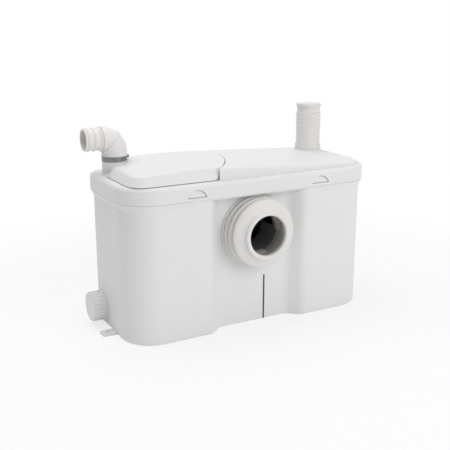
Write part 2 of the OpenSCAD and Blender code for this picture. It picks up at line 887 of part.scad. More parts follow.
module top_inlet_sleeve() color("gainsboro") translate([spigot_x, spigot_y, 0]) {
    base = top_seat_z + top_collar_h + seat_gap;
    end = top_inlet_z - plug_h - seat_gap;
    foot = [1.6, 7];
    neck_in = 1;
    ridges = 6;
    ridge = 1.5;
    pitch = 4.6;
    ridge_top = top_inlet_z - 16;
    difference() {
        union() {
            translate([0, 0, base]) cylinder(r = top_sleeve_r, h = ridge_top - base);
            translate([0, 0, base]) cylinder(r = top_sleeve_r + foot.x, h = foot.y);
            translate([0, 0, ridge_top - 2 * ridge])
                cylinder(r = top_sleeve_r - neck_in, h = end - ridge_top + 2 * ridge);
            for (i = [0 : ridges - 1]) translate([0, 0, ridge_top - ridge - pitch * i]) rotate_extrude()
                translate([top_sleeve_r - ridge / 2, 0]) circle(ridge);
        }
        translate([0, 0, base - over]) cylinder(r = top_spigot_r + touch, h = end - base + 2 * over);
    }
}

module top_inlet_plug() color("gainsboro") translate([spigot_x, spigot_y, top_inlet_z - plug_h]) {
    rim = 0.5;
    cylinder(r = top_sleeve_r + rim, h = plug_h - 2 * rim);
    cylinder(r = top_sleeve_r - rim, h = plug_h);
    translate([0, 0, -plug_stem]) cylinder(r = top_spigot_r + touch - run_clear, h = plug_stem + over);
}

// Screw cap of the side inlet with grip ribs round it
module side_inlet_cap() color("gainsboro")
translate([-tank_hw, side_inlet_y, side_inlet_z]) rotate([0, -90, 0]) {
    base = side_collar_t + seat_gap;
    len = side_cap_len - base;
    ribs = 24;
    rib_w = 3;
    rib_t = 0.8;
    skirt = [0.6, 3];
    difference() {
        union() {
            translate([0, 0, base]) cylinder(r = side_cap_r - rib_t, h = len - 1);
            translate([0, 0, base]) cylinder(r = side_cap_r - 2 * rib_t, h = len);
            translate([0, 0, base]) cylinder(r = side_cap_r + skirt.x, h = skirt.y);
            translate([0, 0, base]) intersection() {
                cylinder(r = side_cap_r, h = len - 2);
                for (i = [0 : ribs - 1]) rotate([0, 0, 360 / ribs * i]) translate([0, -rib_w / 2, 0])
                    cube([side_cap_r + over, rib_w, len]);
            }
        }
        translate([0, 0, base - over])
            cylinder(r = side_spigot_r + run_clear, h = side_spigot_len - base + over + seat_gap);
    }
}

module floor_bracket() {
    len = bracket_in + bracket_out;
    round = bracket_round;
    translate([tank_hw - bracket_in + touch, bracket_y - bracket_w / 2, 0]) difference() {
        union() {
            cube([len - round, bracket_w, bracket_t]);
            translate([0, round, 0]) cube([len, bracket_w - 2 * round, bracket_t]);
            for (y = [round, bracket_w - round]) translate([len - round, y, 0])
                cylinder(r = round, h = bracket_t);
        }
        translate([len - bracket_hole_in, bracket_w / 2, -over])
            cylinder(r = bracket_hole_r, h = bracket_t + 2 * over);
    }
}

module floor_bracket_left() color("gainsboro") mirror([1, 0, 0]) floor_bracket();
module floor_bracket_right() color("gainsboro") floor_bracket();

module cable_gland() color("dimgray") translate([gland_x, tank_hd, gland_z]) rotate([-90, 0, 0]) {
    inner = tank_wall + 6;
    outer = 14;
    nut = [gland_r + 4, 6];
    lock = [gland_r + 4, 5];
    cap = [gland_r + 2, 7];
    difference() {
        union() {
            translate([0, 0, -inner]) cylinder(r = gland_r, h = inner + outer);
            cylinder(r = nut.x, h = nut.y, $fn = 6);
            translate([0, 0, nut.y]) cylinder(r = cap.x, h = cap.y);
            translate([0, 0, -tank_wall - lock.y]) cylinder(r = lock.x, h = lock.y, $fn = 6);
        }
        translate([0, 0, -inner - over]) cylinder(r = gland_bore, h = inner + outer + 2 * over);
    }
}

// Two saddles on a common foot
module motor_cradle() color("silver") {
    left = can_left + cradle_in;
    right = can_right - cradle_in;
    difference() {
        union() {
            for (x = [left, right - cradle_t]) translate([x, shaft_y - cradle_half, tank_wall])
                cube([cradle_t, 2 * cradle_half, cradle_top - tank_wall]);
            translate([left, shaft_y - cradle_half, tank_wall])
                cube([right - left, 2 * cradle_half, cradle_foot]);
        }
        on_shaft(can_left - over) cylinder(r = can_r + touch, h = can_len + 2 * over);
    }
}

module motor_can() color("gainsboro") on_shaft(can_left) tube(can_r, can_r - can_wall, can_len);

// End bell with its bearing pocket towards the can and a seal pocket on the outside
module end_bell() {
    bore = shaft_r + 1.5;
    bolt = [2.5, 5];
    bolt_in = 8;
    difference() {
        union() {
            cylinder(r = can_r, h = bell_t);
            translate([0, 0, bell_t]) cylinder(r = can_r - can_wall - touch, h = bell_lip);
        }
        translate([0, 0, bell_t + bell_lip - bearing_w])
            cylinder(r = bearing_r + touch, h = bearing_w + over);
        translate([0, 0, -over]) cylinder(r = seal_r + touch, h = seal_w + over);
        translate([0, 0, -over]) cylinder(r = bore, h = bell_t + bell_lip + 2 * over);
        for (i = [0 : 3]) rotate([0, 0, 45 + 90 * i]) translate([can_r - bolt_in, 0, -over])
            cylinder(r = bolt.x, h = bolt.y + over);
    }
}

module pump_end_bell() color("gray") on_shaft(volute_right) end_bell();
module cutter_end_bell() color("gray") on_shaft(bell_right) mirror([0, 0, 1]) end_bell();

module stator() color("peru") on_shaft(core_start) difference() {
    cylinder(r = can_r - can_wall - touch, h = core_len);
    translate([0, 0, -over]) cylinder(r = core_r + core_gap, h = core_len + 2 * over);
    for (i = [0 : slot_count - 1]) rotate([0, 0, 360 / slot_count * i])
        translate([core_r, -slot_w / 2, -over]) cube([slot_depth, slot_w, core_len + 2 * over]);
}

module rotor_core() color("slategray") on_shaft(core_start) tube(core_r, shaft_r + touch, core_len);

module motor_shaft() color("silver") on_shaft(shaft_start)
    cylinder(r = shaft_r, h = shaft_end - shaft_start);

module bearing() tube(bearing_r, shaft_r + run_clear, bearing_w);
module pump_bearing() color("silver") on_shaft(can_left + bell_lip - bearing_w) bearing();
module cutter_bearing() color("silver") on_shaft(can_right - bell_lip) bearing();

module shaft_seal() tube(seal_r, shaft_r + run_clear, seal_w - seal_play);
module pump_shaft_seal() color("black") on_shaft(volute_right + seal_play) shaft_seal();
module cutter_shaft_seal() color("black") on_shaft(bell_right - seal_w) shaft_seal();

// Open-faced impeller: hub, back plate and swept vanes
module impeller() color("ivory") on_shaft(shaft_start) {
    back = 3;
    hub = 9;
    hub_h = volute_right - plate_t - 2 - shaft_start;
    vanes = 6;
    vane = [impeller_r - hub - 1, 2.5, 7];
    sweep = 18;
    tube(hub, shaft_r + touch, hub_h);
    translate([0, 0, hub_h - back]) tube(impeller_r, shaft_r + touch, back);
    translate([0, 0, hub_h - back + over - vane.z]) intersection() {
        for (i = [0 : vanes - 1]) rotate([0, 0, 360 / vanes * i])
            translate([hub - 1, -vane.y / 2, 0]) rotate([0, 0, sweep]) cube(vane);
        cylinder(r = impeller_r, h = vane.z);
    }
}

// Pump casing with its suction eye and the upright outlet
module volute_body() color("lightgray") {
    difference() {
        union() {
            on_shaft(volute_left) cylinder(r = volute_r, h = volute_t - plate_t);
            translate([volute_x, spigot_y, shaft_z]) cylinder(r = pipe_r, h = pipe_top - shaft_z);
        }
        on_shaft(volute_left + plate_t) cylinder(r = volute_r - volute_wall, h = volute_t);
        on_shaft(volute_left - over) cylinder(r = eye_r, h = volute_t);
        translate([volute_x, spigot_y, shaft_z]) cylinder(r = pipe_bore, h = pipe_top);
    }
}

module volute_cover() color("lightgray") on_shaft(volute_right - plate_t)
    tube(volute_r, shaft_r + 2, plate_t);

// Riser from the pump up through the lid, with the chamber and hinge ears of the non-return flap and
// the spigot that the elbow turns on
module discharge_riser() color("lightgray") translate([volute_x, spigot_y, 0]) {
    ear_x = (knuckle_w + ear_w) / 2 + 3;
    ear_y = hinge_off - knuckle_r - 0.1;
    ear = [ear_w, 2 * knuckle_r + 0.2, over + seat_gap + 2 * knuckle_r + 1];
    difference() {
        union() {
            translate([0, 0, valve_z - riser_cuff])
                cylinder(r = pipe_r + riser_wall, h = riser_cuff + over);
            translate([0, 0, valve_z]) cylinder(r = valve_r, h = valve_h);
            translate([0, 0, valve_z]) cylinder(r = pipe_r, h = spigot_base_z + over - valve_z);
            translate([0, 0, spigot_base_z]) cylinder(r = spigot_r, h = spigot_top_z - spigot_base_z);
        }
        translate([0, 0, valve_z - riser_cuff - over])
            cylinder(r = pipe_r + touch, h = pipe_top - valve_z + riser_cuff + over);
        translate([0, 0, valve_z - riser_cuff]) cylinder(r = pipe_bore, h = spigot_top_z);
        translate([0, 0, spigot_base_z + riser_wall]) cylinder(r = discharge_bore_r, h = spigot_top_z);
        translate([0, 0, valve_z + seat_t])
            cylinder(r = valve_r - valve_wall, h = valve_h - seat_t - valve_wall);
    }
    difference() {
        for (s = [-1, 1]) translate([s * ear_x - ear_w / 2, ear_y, valve_z + seat_t - over]) cube(ear);
        hinge_hole(pin_r + touch);
    }
}

// Hole of radius r along the flap's hinge
module hinge_hole(r) {
    translate([-pin_len, hinge_off, knuckle_z]) rotate([0, 90, 0]) cylinder(r = r, h = 2 * pin_len);
}

module non_return_flap() color("black") translate([volute_x, spigot_y, 0]) difference() {
    union() {
        translate([0, 0, flap_z]) cylinder(r = flap_r, h = flap_t);
        translate([-knuckle_w / 2, 0, flap_z]) cube([knuckle_w, hinge_off, flap_t]);
        translate([-knuckle_w / 2, hinge_off, knuckle_z]) rotate([0, 90, 0])
            cylinder(r = knuckle_r, h = knuckle_w);
    }
    hinge_hole(pin_r + run_clear);
}

module flap_pin() color("silver")
    translate([volute_x - pin_len / 2, spigot_y + hinge_off, knuckle_z]) rotate([0, 90, 0])
        cylinder(r = pin_r, h = pin_len);

// Hub with two long cutting arms and two short breaker arms
module cutter_blade() color("silver") on_shaft(cutter_x - hub_len / 2) difference() {
    union() {
        cylinder(r = hub_r, h = hub_len);
        for (turn = [0, 180]) rotate([0, 0, turn]) intersection() {
            translate([0, -cutter_arm / 2, hub_len / 2 - cutter_t / 2])
                cube([cutter_r, cutter_arm, cutter_t]);
            cylinder(r = cutter_r, h = hub_len);
        }
        for (turn = [90, 270]) rotate([0, 0, turn])
            translate([0, -breaker_arm / 2, hub_len / 2 - cutter_t / 2])
                cube([cutter_r * 0.7, breaker_arm, cutter_t]);
    }
    translate([0, 0, -over]) cylinder(r = shaft_r + touch, h = hub_len + 2 * over);
}

module cutter_nut() color("silver") on_shaft(cutter_x + hub_len / 2) difference() {
    cylinder(r = nut_r, h = nut_t, $fn = 6);
    translate([0, 0, -over]) cylinder(r = shaft_r + touch, h = nut_t + 2 * over);
}

// Slotted basket, open at the top, on two legs
module macerator_basket() color("lightgray") {
    len = basket_right - basket_left;
    leg_half = 30;
    leg_in = 4;
    slot_in = 16;
    difference() {
        union() {
            on_shaft(basket_left) cylinder(r = basket_out, h = len);
            for (x = [basket_left + leg_in, basket_right - leg_in - basket_leg])
                translate([x, shaft_y - leg_half, tank_wall])
                    cube([basket_leg, 2 * leg_half, shaft_z - leg_half - tank_wall]);
        }
        on_shaft(basket_left + basket_wall) cylinder(r = basket_r, h = len - 2 * basket_wall);
        on_shaft(basket_left - over) cylinder(r = shaft_r + 3, h = basket_wall + 2 * over);
        translate([basket_left - over, shaft_y - basket_out - over, basket_top])
            cube([len + 2 * over, 2 * (basket_out + over), basket_out]);
        for (i = [0 : basket_slots - 1]) translate([0, shaft_y, shaft_z])
            rotate([basket_slot_span * (i / (basket_slots - 1) - 0.5), 0, 0])
                translate([basket_left + slot_in, -basket_slot_w / 2, -basket_out - over])
                    cube([len - 2 * slot_in - 2, basket_slot_w, 2 * basket_wall]);
    }
}

module dip_tube() color("lightgray") translate([dip_x, dip_y, tank_wall]) difference() {
    tube(dip_r, dip_r - dip_wall, dip_top - tank_wall);
    for (turn = [0, 90]) rotate([0, 0, turn]) translate([-dip_r - over, -dip_slot.x / 2, -over])
        cube([2 * (dip_r + over), dip_slot.x, dip_slot.y]);
}

// Diaphragm housing on the dip tube, with an arm that carries the micro switch
module pressure_switch() color("darkgray") translate([dip_x, dip_y, dip_top]) difference() {
    union() {
        cylinder(r = switch_r, h = switch_h);
        translate([0, 0, -switch_plug]) cylinder(r = dip_r - dip_wall - touch, h = switch_plug + over);
        translate([arm_x, -bracket_arm.y / 2, switch_h - over]) cube(bracket_arm + [0, 0, over]);
    }
    translate([0, 0, -switch_plug - over]) cylinder(r = switch_bore, h = switch_h);
    translate([0, 0, diaphragm_t]) cylinder(r = plunger_r + run_clear, h = switch_h);
}

module switch_plunger() color("red") translate([dip_x, dip_y, dip_top + switch_h - plunger_in])
    cylinder(r = plunger_r, h = plunger_len);

module micro_switch() color("black")
    translate([dip_x + arm_x - micro_size.x, dip_y - micro_size.y / 2, micro_z])
        cube(micro_size - [touch, 0, 0]);

// Open-topped box on two feet that saddle the motor
module control_box() color("whitesmoke") {
    difference() {
        union() {
            translate([box_x[0], box_y[0], box_z]) cube([box_size.x, box_size.y, box_h]);
            for (x = [box_x[0] + box_foot.x, box_x[1] - 2 * box_foot.x])
                translate([x, shaft_y - box_foot.y / 2, shaft_z])
                    cube([box_foot.x, box_foot.y, box_z - shaft_z + over]);
        }
        translate([box_x[0] + box_wall, box_y[0] + box_wall, box_z + box_wall])
            cube([box_size.x - 2 * box_wall, box_size.y - 2 * box_wall, box_h]);
        on_shaft(can_left - over) cylinder(r = can_r + touch, h = can_len + 2 * over);
    }
}

module control_box_lid() color("whitesmoke")
    translate([box_x[0] - box_rim, box_y[0] - box_rim, box_z + box_h])
        cube([box_size.x + 2 * box_rim, box_size.y + 2 * box_rim, box_lid_t]);

module capacitor() color("black") translate([
    box_x[0] + cap_in, box_y[1] - box_wall - cap_r - touch, box_z + box_wall + cap_r + touch
]) rotate([0, 90, 0]) cylinder(r = cap_r, h = cap_len);

module terminal_block() color("gray")
translate([box_x[0] + block_in, box_y[0] + box_wall, box_z + box_wall]) difference() {
    cube(block_size);
    for (i = [0 : 4])
        translate([3 * screw_r + screw_pitch * i, block_size.y / 2, block_size.z - screw_depth])
            cylinder(r = screw_r, h = screw_depth + over);
}

module carbon_filter() color("black") translate([filter_x, filter_y, filter_base_z]) {
    translate([0, 0, -filter_rim.y]) cylinder(r = filter_r + filter_rim.x, h = filter_rim.y);
    cylinder(r = filter_r, h = filter_top_z - touch - filter_base_z);
}

tank();
lid();
lid_seal();
access_cover();
inlet_sleeve();
inlet_ring();
inlet_chute();
front_mark_strip();
discharge_elbow();
hose_clamp();
clamp_screw();
top_inlet_sleeve();
top_inlet_plug();
side_inlet_cap();
floor_bracket_left();
floor_bracket_right();
cable_gland();
motor_cradle();
motor_can();
pump_end_bell();
cutter_end_bell();
stator();
rotor_core();
motor_shaft();
pump_bearing();
cutter_bearing();
pump_shaft_seal();
cutter_shaft_seal();
impeller();
volute_body();
volute_cover();
discharge_riser();
non_return_flap();
flap_pin();
cutter_blade();
cutter_nut();
macerator_basket();
dip_tube();
pressure_switch();
switch_plunger();
micro_switch();
control_box();
control_box_lid();
capacitor();
terminal_block();
carbon_filter();
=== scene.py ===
"""Looks of the macerator toilet pump: finishes, two redrawn pieces, floor, light and camera."""
import json
import math

import bmesh
import bpy
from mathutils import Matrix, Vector


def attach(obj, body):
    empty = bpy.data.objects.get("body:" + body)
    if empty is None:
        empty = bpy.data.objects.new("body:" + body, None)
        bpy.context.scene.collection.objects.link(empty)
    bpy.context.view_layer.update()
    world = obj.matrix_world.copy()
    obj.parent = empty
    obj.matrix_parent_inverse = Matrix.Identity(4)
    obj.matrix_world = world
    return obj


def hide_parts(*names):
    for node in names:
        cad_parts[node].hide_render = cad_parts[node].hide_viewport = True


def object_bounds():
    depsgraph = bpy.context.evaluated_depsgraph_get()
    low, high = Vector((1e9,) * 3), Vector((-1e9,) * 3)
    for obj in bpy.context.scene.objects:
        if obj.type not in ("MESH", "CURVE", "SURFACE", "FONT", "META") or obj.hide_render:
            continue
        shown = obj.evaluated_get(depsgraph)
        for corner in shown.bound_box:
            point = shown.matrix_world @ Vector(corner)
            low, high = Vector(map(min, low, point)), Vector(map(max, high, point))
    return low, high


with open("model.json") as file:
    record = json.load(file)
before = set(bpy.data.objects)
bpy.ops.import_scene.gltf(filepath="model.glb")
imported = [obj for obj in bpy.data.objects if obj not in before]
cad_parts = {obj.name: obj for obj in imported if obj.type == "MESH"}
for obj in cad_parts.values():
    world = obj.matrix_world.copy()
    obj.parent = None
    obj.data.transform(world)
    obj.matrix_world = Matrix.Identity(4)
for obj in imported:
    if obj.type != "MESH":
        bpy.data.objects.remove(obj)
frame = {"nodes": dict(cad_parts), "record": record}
cad_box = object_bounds()
nodes = frame["nodes"]
scene = bpy.context.scene

# Millimetres in a metre: the frame is in metres, and the redrawn pieces are written in millimetres
MM = 1000

# Camera: where the photograph was taken from, in metres and degrees, with its lens in millimetres
CAMERA_PLACE = Vector((-0.5973, -1.0709, 0.4895))
CAMERA_TURN = 28.55
CAMERA_DROP = 15.52
CAMERA_LENS, SENSOR_WIDTH = 59.53, 36
CAMERA_REACH = 30

# Colours, linear
TANK_WHITE = (0.79, 0.79, 0.79)
LID_WHITE = (0.78, 0.78, 0.78)
PALE_RUBBER = (0.76, 0.745, 0.725)
PALE_FITTING = (0.80, 0.79, 0.775)
GREY_PLASTIC = (0.42, 0.405, 0.38)
MARK_GREY = (0.05, 0.05, 0.052)
# Black plastic is set to a dark grey, lighter than black plastic is, so the unlit inside seen
# through the inlet reads lighter: painted light
BLACK_PLASTIC_PAINTED_LIGHT = (0.2, 0.2, 0.2)
BLACK_RUBBER = (0.015, 0.015, 0.015)
STEEL = (0.2, 0.2, 0.2)
BRIGHT_STEEL = (0.55, 0.55, 0.56)
MOTOR_GREY = (0.17, 0.175, 0.185)
CORE_BROWN = (0.10, 0.085, 0.075)
FLOOR_WHITE = (0.93, 0.93, 0.93)
STUDIO_WHITE = (1, 1, 1, 1)

# All finishes: the span of a noise that is used, and how far edges are softened, in metres
NOISE_SPAN = (0.3, 0.7)
EDGE_RADIUS, EDGE_SAMPLES = 0.0006, 6

# Moulded plastic: slow drift of its colour, then detail, gloss and height of its grain, and shine
DRIFT_SCALE, DRIFT_DETAIL, DRIFT_CHANGE = 9, 3, 0.012
GRAIN_DETAIL, GRAIN_GLOSS, GRAIN_BUMP = 2, 0.05, 0.25
PLASTIC_SHINE = 0.35

# Rubber: bloom in its colour and gloss, pits with their depth in metres, and sheen
BLOOM_SCALE, BLOOM_DETAIL, BLOOM_CHANGE = 30, 4, 0.03
BLOOM_GLOSS = (-0.06, 0.08)
PIT_SCALE, PIT_DETAIL, PIT_BUMP, PIT_DEPTH = 1800, 3, 0.3, 0.00003
SHEEN, SHEEN_ROUGHNESS = 0.15, 0.5

# Metal: its lines in colour, gloss and height, with their depth in metres
LINE_DETAIL, LINE_CHANGE, LINE_BUMP, LINE_DEPTH = 3, 0.1, 0.2, 0.00002
LINE_GLOSS = (-0.08, 0.1)

# Light: strength of the even fill, and each soft box's place, target and size in metres, and watts
FILL = 0.47
SOFT_BOXES = {
    "key": ((0.65, -2.0, 1.1), (0, 0, 0.15), 1.6, 18.5),
    "top": ((-0.3, 0.5, 2.0), (-0.05, 0, 0.2), 1.8, 20),
}

# Floor: its size in metres and finish, how much of it shows as plain white near the object and far
# away, and how far that is
FLOOR_SIZE, FLOOR_ROUGHNESS, FLOOR_SHINE = 12, 0.8, 0.1
GLOW_NEAR, GLOW_FAR = 0.7, 1.0
GLOW_RADII = (0.35, 0.85)

# Redrawn pieces: edges that turn by more than this, in degrees, stay sharp
SHARP_TURN = 30

# Access cover in millimetres: front left corner of its plan, rear edge, foot and crest, the arch of
# its top, and its edge from the foot up. Each step of the edge has its share of the height, how far
# in it lies at the front and left and at the rear, and how far below the arch the height ends.
COVER_CORNER, COVER_REAR = (-214, -86.2), 86.2
COVER_FOOT, COVER_TOP = 251, 269.7
CROWN_X, CROWN_R = -95, 1300
CORNER_R, COVER_WALL = 28, 3
COVER_EDGE = (
    (0, 0, 0, 0), (0.6, 4.92, 0.7, 2.9), (0.85, 6.97, 2.6, 2.9), (1, 8.2, 4.4, 2.9),
    (1, 9, 5.5, 1.9), (1, 10, 6.6, 1.1), (1, 11.2, 7.5, 0.5), (1, 12.6, 8.3, 0.12), (1, 14, 9.2, 0),
)
CORNER_STEPS, ACROSS_STEP, ACROSS_POINTS = 14, 8, 25

# Plan of the cover in millimetres and degrees: the seam's arc and its end, the nose at its front,
# the finger notch with the angles of its sides, and the bay's corners. The knife reaches past them.
SEAM_CENTRE, SEAM_R, SEAM_END = (-257, 90), 255.3, 6.5
NOSE_CENTRE, NOSE_R = (-85.6, -56.2), 30
NOTCH_TURN, NOTCH_R, NOTCH_SIDES = -32.2, 2.2, (91, 269)
NOSE_STEPS, FRONT_STEPS, NOTCH_STEPS, SEAM_STEPS = 8, 8, 6, 40
BAY = ((-157.4, 22.4), (-188, 22.4), (-214, 14.4))
KNIFE_LEFT, KNIFE_REACH, KNIFE_OVER = -260, 120, 9

# Locating rib under the cover in millimetres: opposite corners of its plan, then the radius of its
# corners, its wall and its foot
RIB_LOW, RIB_HIGH = (-199.7, -67.7), (-84.3, 11.7)
RIB_R, RIB_WALL, RIB_FOOT, RIB_STEPS = 11.7, 2, 245, 6

# Cutting the cover, in millimetres: what still counts as its foot, and the least edge that is kept
FOOT_SLACK, LEAST_EDGE = 0.01, 0.1

# Pan sleeve in millimetres: height of its axis, place of its mouth, points round it, and its half
# section as depths behind the mouth with radii, from the collar over the ridges to the bore
SLEEVE_AXIS, SLEEVE_MOUTH, SLEEVE_STEPS = 159.5, -118.1, 144
SLEEVE_SECTION = (
    (2.4, 32.4), (1.3, 32.7), (0.5, 33.4), (0.1, 34.4), (0, 35.6), (0, 37.7), (0.3, 38.7),
    (0.9, 39.3), (1.8, 39.5), (4.7, 39.7), (5.8, 40.1), (6.7, 41), (7.4, 42.3), (9.2, 46.3),
    (10.9, 50), (12.3, 52.7), (13.6, 54.4), (15, 55.4), (16.4, 55.8), (17.8, 55.4), (18.7, 54),
    (19.6, 51.6), (20.6, 51), (22.4, 51), (23.5, 51.6), (24.1, 56.8), (24.5, 57.5), (25.3, 57.8),
    (27.4, 57.8), (28.5, 57.3), (29.3, 55.6), (30.2, 52.9), (31.2, 52.3), (32.8, 52.3), (33.8, 53),
    (34.4, 58), (34.8, 58.7), (35.6, 59.1), (37.9, 59.1), (39, 58.6), (39.8, 57), (40.5, 54.6),
    (41.6, 54.2), (42.5, 54.8), (43, 59.2), (43.3, 59.7), (44, 60), (47.4, 60), (48, 59.4),
    (48, 46.02), (25.7, 46.02), (25.7, 42), (16, 42), (7, 32.4),
)


def shader(name, colour, roughness, metallic=0.0):
    """A new material and its node tree, with the principled shader set."""
    material = bpy.data.materials.new(name)
    material.use_nodes = True
    tree = material.node_tree
    surface = tree.nodes["Principled BSDF"]
    surface.inputs["Base Color"].default_value = (*colour, 1)
    surface.inputs["Roughness"].default_value = roughness
    surface.inputs["Metallic"].default_value = metallic
    return material, tree, surface


def noise(tree, scale, detail, stretch=(1, 1, 1)):
    """A noise texture in the object's own space, with scale in cycles a metre."""
    place = tree.nodes.new("ShaderNodeTexCoord")
    mapping = tree.nodes.new("ShaderNodeMapping")
    mapping.inputs["Scale"].default_value = stretch
    texture = tree.nodes.new("ShaderNodeTexNoise")
    texture.inputs["Scale"].default_value = scale
    texture.inputs["Detail"].default_value = detail
    tree.links.new(place.outputs["Object"], mapping.inputs["Vector"])
    tree.links.new(mapping.outputs["Vector"], texture.inputs["Vector"])
    return texture.outputs["Fac"]


def ramp(tree, source, low, high):
    """The source's value spread from low to high, as a number."""
    spread = tree.nodes.new("ShaderNodeMapRange")
    spread.inputs["From Min"].default_value = NOISE_SPAN[0]
    spread.inputs["From Max"].default_value = NOISE_SPAN[1]
    spread.inputs["To Min"].default_value = low
    spread.inputs["To Max"].default_value = high
    tree.links.new(source, spread.inputs["Value"])
    return spread.outputs["Result"]


def tint(tree, source, colour, change):
    """The colour, made lighter and darker by change where the source is high and low."""
    mix = tree.nodes.new("ShaderNodeMix")
    mix.data_type = "RGBA"
    mix.inputs["A"].default_value = (*[c * (1 - change) for c in colour], 1)
    mix.inputs["B"].default_value = (*[min(1, c * (1 + change)) for c in colour], 1)
    tree.links.new(source, mix.inputs["Factor"])
    return mix.outputs["Result"]


def bump(tree, source, strength, depth):
    """A bump normal from the source's height over softly rounded edges, depth in metres."""
    edge = tree.nodes.new("ShaderNodeBevel")
    edge.samples = EDGE_SAMPLES
    edge.inputs["Radius"].default_value = EDGE_RADIUS
    node = tree.nodes.new("ShaderNodeBump")
    node.inputs["Strength"].default_value = strength
    node.inputs["Distance"].default_value = depth
    tree.links.new(edge.outputs["Normal"], node.inputs["Normal"])
    tree.links.new(source, node.inputs["Height"])
    return node.outputs["Normal"]


def finish(tree, surface, colour, gloss, normal):
    """Links a finish's colour, roughness and normal to its shader."""
    tree.links.new(colour, surface.inputs["Base Color"])
    tree.links.new(gloss, surface.inputs["Roughness"])
    tree.links.new(normal, surface.inputs["Normal"])


def moulded(name, colour, roughness, grain=2600, depth=0.00002):
    """Injection-moulded plastic: fine spark grain, slow colour drift, uneven gloss."""
    material, tree, surface = shader(name, colour, roughness)
    drift = noise(tree, DRIFT_SCALE, DRIFT_DETAIL)
    fine = noise(tree, grain, GRAIN_DETAIL)
    finish(
        tree, surface, tint(tree, drift, colour, DRIFT_CHANGE),
        ramp(tree, fine, roughness - GRAIN_GLOSS, roughness + GRAIN_GLOSS),
        bump(tree, fine, GRAIN_BUMP, depth))
    surface.inputs["Specular IOR Level"].default_value = PLASTIC_SHINE
    return material


def rubber(name, colour, roughness=0.6):
    """Moulded rubber: soft sheen, slight bloom and fine pitting."""
    material, tree, surface = shader(name, colour, roughness)
    bloom = noise(tree, BLOOM_SCALE, BLOOM_DETAIL)
    pits = noise(tree, PIT_SCALE, PIT_DETAIL)
    finish(
        tree, surface, tint(tree, bloom, colour, BLOOM_CHANGE),
        ramp(tree, bloom, roughness + BLOOM_GLOSS[0], roughness + BLOOM_GLOSS[1]),
        bump(tree, pits, PIT_BUMP, PIT_DEPTH))
    surface.inputs["Sheen Weight"].default_value = SHEEN
    surface.inputs["Sheen Roughness"].default_value = SHEEN_ROUGHNESS
    return material


def metal(name, colour, roughness, grain, stretch):
    """Drawn or turned metal with fine lines, closer together along the stretched axis."""
    material, tree, surface = shader(name, colour, roughness, 1.0)
    lines = noise(tree, grain, LINE_DETAIL, stretch)
    finish(
        tree, surface, tint(tree, lines, colour, LINE_CHANGE),
        ramp(tree, lines, roughness + LINE_GLOSS[0], roughness + LINE_GLOSS[1]),
        bump(tree, lines, LINE_BUMP, LINE_DEPTH))
    return material


# Finishes by the record's slots: roughness, then the grain in cycles a metre, and its depth in
# metres or its stretch
MATERIALS = {
    "tank_white": moulded("tank_white_plastic", TANK_WHITE, 0.5),
    "lid_white": moulded("lid_white_plastic", LID_WHITE, 0.46),
    "pale_rubber": rubber("pale_sleeve_rubber", PALE_RUBBER),
    "pale_fitting": moulded("pale_fitting_plastic", PALE_FITTING, 0.5, grain=1500, depth=0.00003),
    "mark_grey": moulded("mark_grey_plastic", MARK_GREY, 0.5),
    "clamp_steel": metal("clamp_stainless", STEEL, 0.25, grain=900, stretch=(1, 1, 6)),
    "grey_plastic": moulded("grey_inner_plastic", GREY_PLASTIC, 0.55, grain=900, depth=0.00004),
    # The black plastic's colour carries painted light, which lifts the unlit inside
    "black_plastic": moulded("black_moulding_painted_light", BLACK_PLASTIC_PAINTED_LIGHT, 0.45),
    "black_rubber": rubber("black_seal_rubber", BLACK_RUBBER, 0.7),
    "motor_steel": moulded("motor_paint", MOTOR_GREY, 0.45, grain=700, depth=0.00005),
    "motor_alloy": metal("cast_alloy", BRIGHT_STEEL, 0.5, grain=300, stretch=(1, 1, 1)),
    "core_steel": metal("core_laminations", CORE_BROWN, 0.6, grain=700, stretch=(8, 1, 1)),
    "cutter_steel": metal("cutter_stainless", BRIGHT_STEEL, 0.28, grain=800, stretch=(6, 1, 1)),
}


def dress_nodes():
    """Gives each CAD node the finish of its slot in the record."""
    for part in frame["record"]["subparts"]:
        mesh = nodes[part["node"]].data
        mesh.materials.clear()
        mesh.materials.append(MATERIALS[part["material_slot"]])


def arc(centre, radius, start, end, steps):
    """Points on an arc, from one angle in degrees to another."""
    turns = [math.radians(start + (end - start) * i / steps) for i in range(steps + 1)]
    return [(centre[0] + radius * math.cos(t), centre[1] + radius * math.sin(t)) for t in turns]


def crown(x):
    """Height of the cover's arched top at a place across the pump."""
    return COVER_TOP - CROWN_R + math.sqrt(CROWN_R ** 2 - (x - CROWN_X) ** 2)


def ring(mesh, points, height):
    """A closed loop of new points, each at the height that a function of its x gives."""
    return [mesh.verts.new((x / MM, y / MM, height(x) / MM)) for x, y in points]


def join(mesh, low, high):
    """Faces between two loops of as many points."""
    for i in range(len(low)):
        mesh.faces.new((low[i - 1], low[i], high[i], high[i - 1]))


def join_round(mesh, loops):
    """Faces from each loop to the next, and from the last one back to the first."""
    for low, high in zip(loops, loops[1:] + loops[:1]):
        join(mesh, low, high)


def solid(name, mesh):
    """An object from a finished mesh, with its faces turned outwards."""
    bmesh.ops.recalc_face_normals(mesh, faces=mesh.faces)
    data = bpy.data.meshes.new(name)
    mesh.to_mesh(data)
    mesh.free()
    piece = bpy.data.objects.new(name, data)
    scene.collection.objects.link(piece)
    return piece


def stand_in(piece, node, body, slot):
    """Dresses a piece that replaces a CAD node, on the node's body and slot."""
    piece.data.materials.append(MATERIALS[slot])
    piece.data.shade_smooth()
    piece.data.set_sharp_from_angle(angle=math.radians(SHARP_TURN))
    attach(piece, body)
    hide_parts(node)


